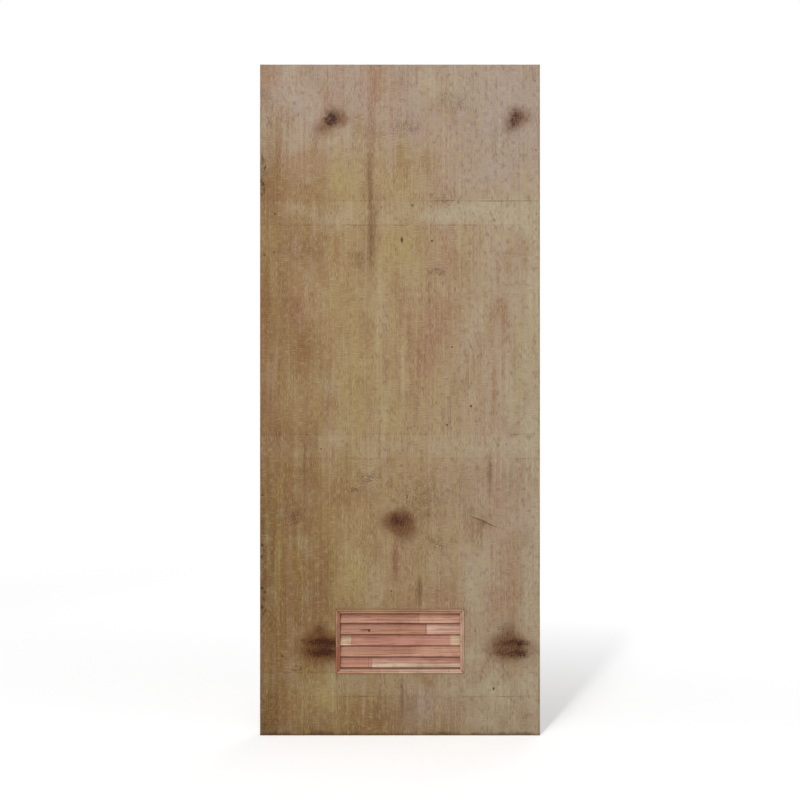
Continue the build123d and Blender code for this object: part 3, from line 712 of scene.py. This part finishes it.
def with_worn_edges(colour, at):
    """Handled long edges, a foot that darkens towards the bottom, painted shade along the louver's trim,
    and the core ply's edge.
    """
    rim = (at.across - leaf_centre.x).math("ABSOLUTE") - leaf_centre.x
    rim = (rim + (at.cloud - 0.5) * rim_sway).steps(-handled_edge, 0.0)
    colour = colour.blended(rim * at.other_cloud.steps(0.35, 0.6, 0.05, 0.35), line_tone)
    # The last 14 mm darken further towards the foot.
    foot = (at.up + (at.cloud - 0.5) * foot_sway).steps(foot_darkening_reach, 0.0)
    colour = colour.blended(foot * 0.75, foot_tone)
    beside, over = past_opening(at.place)
    # A thin line of painted shade on the skin just outside the trim, where its edge stands proud.
    past_trim = beside.math("MAXIMUM", over) - trim_reach
    grime_and_shade = past_trim.steps(trim_shade_reach, 0.0) * past_trim.steps(-trim_seam, 0.0)
    colour = colour.blended(grime_and_shade * at.threads.steps(0.3, 0.6, 0.3, 0.8) * 0.2, foot_tone)
    buried = leaf_high_y - at.deep.math("ABSOLUTE")
    core = buried.steps(core_ply_start, core_ply_start + glue_film)
    core = core * buried.steps(core_ply_end, core_ply_end - glue_film)
    return colour.blended(core, core_ply_tone)


def veneer(name, sheet):
    """Bare knotty veneer: the tones, stains, knots and marks of one sheet over its grain."""
    material, place = start_finish(name)
    at = sheet_patterns(place, sheet)
    ragged = at.fibres.steps(0.2, 0.8, 0.6, 1.3) * at.threads.steps(0.2, 0.8, 0.6, 1.3)
    knot = (at.crumbled.ovals(sheet["knots"]) * ragged).steps(0.0, 1.05)
    specks = at.flat.ovals(sheet["specks"]).steps(0.0, 0.8)
    colour = with_clouds(ground(at), at, sheet)
    colour = with_grain(with_rails_showing(colour, at), at)
    colour = with_knots(with_marks(colour, at, sheet), knot, at, sheet)
    colour = with_cracks(colour, at, sheet).blended(specks * 0.9, speck_tone)
    colour = with_worn_edges(colour, at)
    roughness = 0.62 + at.fibres * 0.16 - knot * 0.14
    height = 0.5 + at.fibres * 0.3 + at.lines * 0.2 + at.threads * 0.1 - specks * 0.5
    close_finish(place, colour, roughness, height, sanded_relief)
    return material


dress(veneer("front_veneer", front_sheet), "front_skin")
dress(veneer("back_veneer", back_sheet), "back_skin")


# The louver: a thin lining let through the leaf, with five sloping slats housed in its
# jambs. All of it is planed from finger-jointed reddish timber, pale where it has sapwood.

rose, dusky_rose, red_rose = linear(206, 161, 138), linear(190, 145, 122), linear(209, 158, 140)
tan_rose, dull_rose, soft_rose = linear(200, 158, 134), linear(194, 144, 122), linear(206, 162, 143)
peach, pale_rose = linear(220, 178, 153), linear(221, 186, 166)
tan, sapwood, cream_wood = linear(190, 148, 120), linear(216, 192, 165), linear(222, 200, 168)
glue_tone, grain_line_tone, dust_tone = linear(104, 56, 40), linear(150, 88, 68), linear(92, 70, 54)
# The second tone is painted shade under the piece above each slat and in the trim's quirk and along its
# edges. In the trim's mitres it stands for dirt.
knot_in_slat, shade_and_dirt_tone = linear(70, 34, 24), linear(60, 26, 12)
broad_tint, figure_tint, fibre_tint = linear(214, 196, 186), linear(214, 180, 166), linear(200, 168, 150)
glue_line, clean_change = 0.0007, 0.0003
sapwood_sway, sapwood_edge = 0.012, 0.001
# How far painted shade fades down a slat below the bottom of the piece above, and how far up it is full.
overhang_shade_reach, overhang_shade_depth = 0.006, 0.002
planed_relief = 0.0003


def louver_timber(
    name, along, first, joins=(), seed=0.0, knots=(), darkened=0.0, sapwood_below=None, shade_and_dirt=None
):
    """Planed finger-jointed timber.

    Each join is where along the piece the next tone starts. Its softness, if any, is the length
    over which the tone changes within one stick, with no glue line.
    """
    material, place = start_finish(name)
    board = turned(place, along, seed)
    length, up = place.part(along), place.part(2)
    figure = board.scaled(150.0, 150.0, 2.2).noise(detail=2.0, roughness=0.6)
    fibres = board.scaled(520.0, 520.0, 12.0).noise(detail=2.0)
    cloudy = board.scaled(14.0, 14.0, 7.0).noise(detail=3.0)
    paler = tuple(1.04 * channel for channel in first[:3]) + (1.0,)
    colour = cloudy.between(first, paler)
    for start, tone, *softness in joins:
        reach = sum(softness) + clean_change
        colour = colour.blended((length + figure * 0.2 * reach).steps(start, start + reach), tone)
        if not softness:
            seam = (length - start).math("ABSOLUTE").steps(glue_line, 0.3 * glue_line)
            colour = colour.blended(seam * fibres.steps(0.2, 0.6, 0.3, 0.8), glue_tone)
    if sapwood_below:
        start, height = sapwood_below
        edge = up + (cloudy - 0.5) * sapwood_sway
        pale = edge.steps(height + sapwood_edge, height - sapwood_edge)
        pale = pale * length.steps(start, start + clean_change)
        colour = colour.blended(pale * 0.9, sapwood)
    colour = colour.blended(cloudy.steps(0.40, 0.70) * 0.5, broad_tint, "MULTIPLY")
    colour = colour.blended(figure.steps(0.44, 0.62) * 0.45, figure_tint, "MULTIPLY")
    latewood = (figure - 0.52).math("ABSOLUTE").steps(0.030, 0.006)
    colour = colour.blended(latewood * cloudy.steps(0.3, 0.6, 0.3, 0.75), grain_line_tone)
    colour = colour.blended(fibres.steps(0.45, 0.75) * 0.35, fibre_tint, "MULTIPLY")
    if knots:
        flat = place.node("ShaderNodeCombineXYZ", {0: place.part(0), 1: up})
        knot = flat.ovals(knots).steps(0.0, 0.6)
        colour = colour.blended(knot, knot_in_slat)
    grime_and_shade = place.scaled(40.0, 40.0, 40.0).noise(detail=4.0)
    # Dust patches, and an even darkening of the whole piece toward the same tone.
    colour = colour.blended(grime_and_shade.steps(0.50, 0.75) * 0.2 + darkened, dust_tone)
    # Painted shade where other pieces overhang or meet this one, broken up by the dust noise.
    if shade_and_dirt:
        colour = colour.blended(shade_and_dirt(place) * grime_and_shade.steps(0.25, 0.6, 0.6, 1.0), shade_and_dirt_tone)
    roughness = 0.55 + fibres * 0.2
    height = 0.5 + fibres * 0.3 + figure * 0.3 - latewood * 0.15
    close_finish(place, colour, roughness, height, planed_relief)
    return material


def finish_slat(number, first, joins, **features):
    """Gives a slat its timber, with painted shade where the piece above overhangs it."""
    above = f"slat_{number - 1}" if number > 1 else "louver_head"
    overhang_bottom = min(corner[2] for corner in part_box(above))

    def shade_and_dirt(place):
        """1 on the part of the slat that lies under the piece above, where shade is painted."""
        return place.part(2).steps(overhang_bottom - overhang_shade_reach, overhang_bottom + overhang_shade_depth)

    timber = louver_timber(f"timber_of_slat_{number}", level, first, joins, shade_and_dirt=shade_and_dirt, **features)
    dress(timber, f"slat_{number}")


# The knot of the second slat, and the stain that runs along the grain on both sides of it.
slat_knot = [
    (0.3411, 0.3262, 0.0042, 0.0042, 1.0),
    (0.3280, 0.3285, 0.024, 0.0026, 0.8),
    (0.3420, 0.3300, 0.012, 0.0016, 0.5),
]
finish_slat(1, rose, [(0.4976, peach)], seed=4.2)
finish_slat(2, dusky_rose, [(0.5180, dusky_rose), (0.5214, pale_rose)], seed=5.3, knots=slat_knot)
finish_slat(3, cream_wood, [(0.2857, red_rose), (0.5920, cream_wood, 0.012)], seed=6.1)
finish_slat(4, tan_rose, [(0.4600, peach, 0.05)], seed=7.4)
stick_joins = [(0.3393, dull_rose), (0.3500, soft_rose)]
finish_slat(5, dull_rose, stick_joins, seed=8.9, sapwood_below=(0.3500, 0.2232))

jamb_timber = louver_timber("timber_of_jambs", upright, rose, seed=1.7, darkened=0.15)
dress(jamb_timber, "louver_jamb_left", "louver_jamb_right")
dress(louver_timber("timber_of_head", level, tan, seed=2.6, darkened=0.1), "louver_head")
# The sill is darkened most, which keeps the gap under the lowest slat dark.
dress(louver_timber("timber_of_sill", level, tan, seed=3.1, darkened=0.5), "louver_sill")


# The trim round each face of the louver: four beads of the same timber, with a quirk
# between their flat and their round. They are mitred, glued and pinned to the face.

quirk_middle, quirk_half = 0.0065, 0.0004
mitre_gap, soft_edge = 0.0008, 0.0005
# Where painted shade along the trim's outer edge and inner lip begins and where it is full.
edge_shade_start, edge_shade_full = 0.0022, 0.0006
lip_shade_end, lip_shade_full = 0.0009, 0.0002


def trim_shade_and_dirt(place):
    """How dark the trim is made.

    Painted shade lies in its quirk, along its edge against the skin, on its inner lip, and thinly
    over the flat on the hinge side. Dirt lies in its mitres.
    """
    beside, over = past_opening(place)
    outward = beside.math("MAXIMUM", over)
    # Painted shade in the quirk, along the outer edge against the skin, on the inner lip and over the
    # hinge-side flat. The mitres get dirt.
    quirk = (outward - quirk_middle).math("ABSOLUTE").steps(2 * quirk_half, 0.5 * quirk_half) * 0.6
    corner = outward.steps(trim_reach - edge_shade_start, trim_reach - edge_shade_full) * 0.45
    mitre = (beside - over).math("ABSOLUTE").steps(2 * mitre_gap, 0.5 * mitre_gap)
    lip = outward.steps(lip_shade_end, lip_shade_full) * 0.5
    hinge_side = place.part(0).steps(opening_low.x, opening_low.x - soft_edge)
    flat = hinge_side * outward.steps(quirk_middle, quirk_middle - soft_edge) * 0.35
    most = quirk
    for shade_and_dirt in (corner, mitre, lip, flat):
        most = most.math("MAXIMUM", shade_and_dirt)
    return most


# Each bead's tone is partly the stick's own and partly painted light. Painted shade darkens the top bead,
# and painted light makes the bottom and right beads paler.
bead_tones_and_shading = {
    "top": (linear(178, 138, 108), [(0.5010, linear(186, 146, 118))]),
    "left": (linear(188, 126, 98), [(0.2760, linear(194, 148, 118))]),
    "right": (linear(202, 170, 144), []),
    "bottom": (linear(208, 170, 142), [(0.3740, linear(214, 178, 152)), (0.4328, linear(228, 200, 176))]),
}
for number, (side, (first, joins)) in enumerate(bead_tones_and_shading.items()):
    along = upright if side in ("left", "right") else level
    bead_seed = 10.3 + number
    timber = louver_timber(f"timber_of_{side}_bead", along, first, joins, bead_seed, shade_and_dirt=trim_shade_and_dirt)
    dress(timber, f"front_bead_{side}", f"back_bead_{side}")


# The pins: small steel heads driven through the flats of the trim, and a row of four through
# each face into the lock rail. Each sits almost flush, at its own turn and size, and rusts.

pin_radius, pin_proud = 0.0013, 0.00035
pin_inset, trim_flat = 0.0048, 0.003
trim_pin_shares = (0.095, 0.5, 0.905)
rail_pin_height, rail_pin_start, rail_pin_step, rail_pins = 0.884, 0.332, 0.1067, 4
old_rust, fresh_rust = linear(52, 36, 28), linear(96, 62, 44)
rust_relief = 0.0001

pin_places = []
for face_side in (-1, 1):
    face_y = face_side * leaf_high_y
    flat_y = face_side * (leaf_high_y + trim_flat)
    for share in trim_pin_shares:
        x = opening_low.x + (opening_high.x - opening_low.x) * share
        pin_places.append((x, flat_y, opening_low.z - pin_inset))
        pin_places.append((x, flat_y, opening_high.z + pin_inset))
    z = (opening_low.z + opening_high.z) / 2
    pin_places.append((opening_low.x - pin_inset, flat_y, z))
    pin_places.append((opening_high.x + pin_inset, flat_y, z))
    for number in range(rail_pins):
        pin_places.append((rail_pin_start + number * rail_pin_step, face_y, rail_pin_height))

pin_steel, place = start_finish("rusty_steel")
rust = place.scaled(900.0, 900.0, 900.0).noise(detail=3.0)
rust_colour = rust.steps(0.35, 0.65).between(old_rust, fresh_rust)
close_finish(place, rust_colour, 0.5 + rust * 0.3, rust, rust_relief)

pin_tree = bpy.data.node_groups.new("pin_heads", "GeometryNodeTree")
pin_tree.interface.new_socket("Geometry", in_out="INPUT", socket_type="NodeSocketGeometry")
radius_input = pin_tree.interface.new_socket("Head radius", in_out="INPUT", socket_type="NodeSocketFloat")
proud_input = pin_tree.interface.new_socket("Head height", in_out="INPUT", socket_type="NodeSocketFloat")
pin_tree.interface.new_socket("Geometry", in_out="OUTPUT", socket_type="NodeSocketGeometry")


def pin_node(kind, inputs, **settings):
    """Adds a node of the pins' tree and links or sets its inputs."""
    made = pin_tree.nodes.new(kind)
    for name, value in settings.items():
        setattr(made, name, value)
    for name, value in inputs.items():
        if isinstance(value, bpy.types.NodeSocket):
            pin_tree.links.new(value, made.inputs[name])
        else:
            made.inputs[name].default_value = value
    return made


given = pin_tree.nodes.new("NodeGroupInput").outputs
ball = pin_node("GeometryNodeMeshUVSphere", {"Segments": 16, "Rings": 8, "Radius": 1.0})
shape = {0: given["Head radius"], 1: given["Head height"], 2: given["Head radius"]}
shape = pin_node("ShaderNodeCombineXYZ", shape).outputs[0]
vary = pin_node("FunctionNodeRandomValue", {2: 0.85, 3: 1.15, "Seed": 7}, data_type="FLOAT").outputs[1]
shape = pin_node("ShaderNodeVectorMath", {0: shape, "Scale": vary}, operation="SCALE").outputs[0]
tilt = {0: (-0.1, -0.1, -0.1), 1: (0.1, 0.1, 0.1), "Seed": 3}
tilt = pin_node("FunctionNodeRandomValue", tilt, data_type="FLOAT_VECTOR").outputs[0]
heads = pin_node(
    "GeometryNodeInstanceOnPoints",
    {"Points": given["Geometry"], "Instance": ball.outputs["Mesh"], "Rotation": tilt, "Scale": shape},
)
solid = pin_node("GeometryNodeRealizeInstances", {"Geometry": heads.outputs["Instances"]})
smooth = pin_node("GeometryNodeSetShadeSmooth", {"Geometry": solid.outputs["Geometry"]})
rusted = {"Geometry": smooth.outputs["Geometry"], "Material": pin_steel}
rusted = pin_node("GeometryNodeSetMaterial", rusted)
pin_node("NodeGroupOutput", {0: rusted.outputs["Geometry"]})

pin_points = bpy.data.meshes.new("pin_points")
pin_points.from_pydata(pin_places, [], [])
pin_host = bpy.data.objects.new("pin_host", pin_points)
bpy.context.collection.objects.link(pin_host)
modifier = pin_host.modifiers.new("pin_heads", "NODES")
modifier.node_group = pin_tree
modifier[radius_input.identifier] = pin_radius
modifier[proud_input.identifier] = pin_proud
shaped = pin_host.evaluated_get(bpy.context.evaluated_depsgraph_get())
pin_mesh = bpy.data.meshes.new_from_object(shaped)
pin_host.modifiers.remove(modifier)
bpy.data.objects.remove(pin_host)
pins = bpy.data.objects.new("pins", pin_mesh)
bpy.context.collection.objects.link(pins)
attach(pins, "root")
